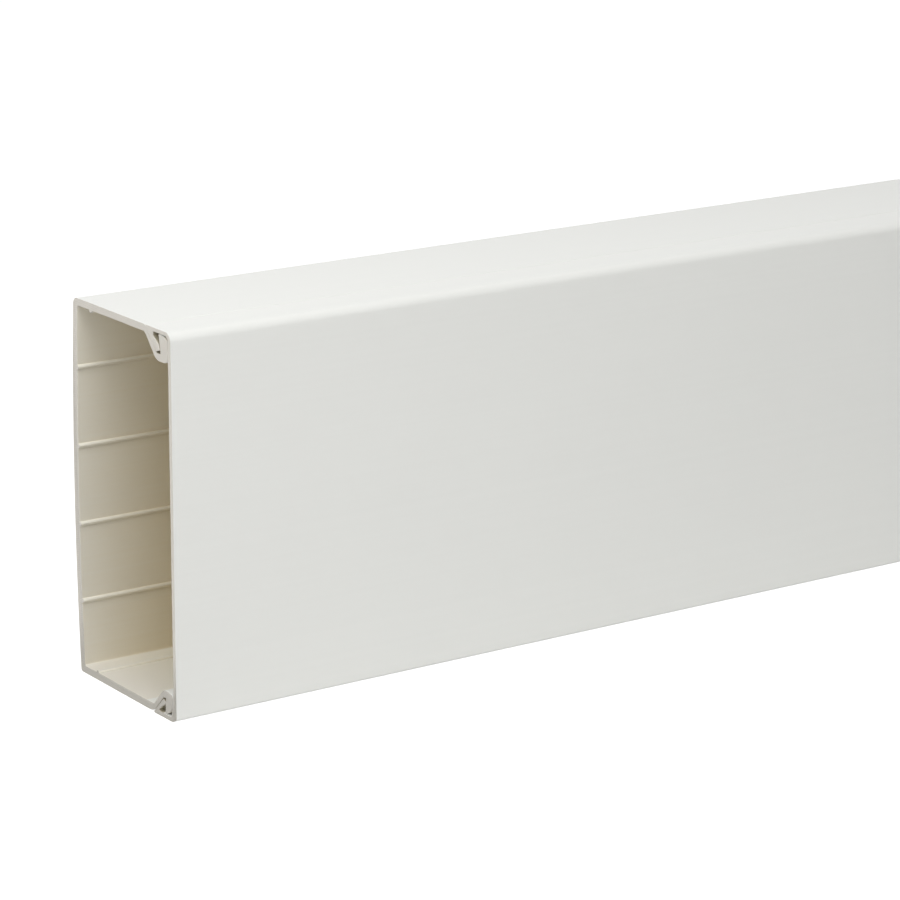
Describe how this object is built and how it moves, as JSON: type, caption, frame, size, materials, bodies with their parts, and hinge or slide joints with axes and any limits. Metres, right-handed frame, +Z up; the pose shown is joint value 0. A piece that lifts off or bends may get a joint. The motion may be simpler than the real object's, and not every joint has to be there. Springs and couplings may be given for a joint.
{
  "type": "cord cover raceway",
  "caption": "Long straight box-section raceway in white rigid plastic: a wall channel with snap lips and a clip-on front cover, open at both ends, for running cords along a wall.",
  "frame": {"origin": "middle of the length and of the depth, on the outer side face that the raceway stands on", "axes": "+X along the length, +Y towards the wall face at the back, so the cover's front faces -Y, and +Z up the height of the section"},
  "size_m": [2, 0.05, 0.105],
  "materials": {
    "base_pvc": "warm white rigid PVC, satin, with fine extrusion lines along the length",
    "cover_pvc": "white rigid PVC, satin, with fine extrusion lines along the length"
  },
  "bodies": {
    "root": {"base_channel": "base_pvc", "snap_cover": "cover_pvc"}
  },
  "joints": []
}
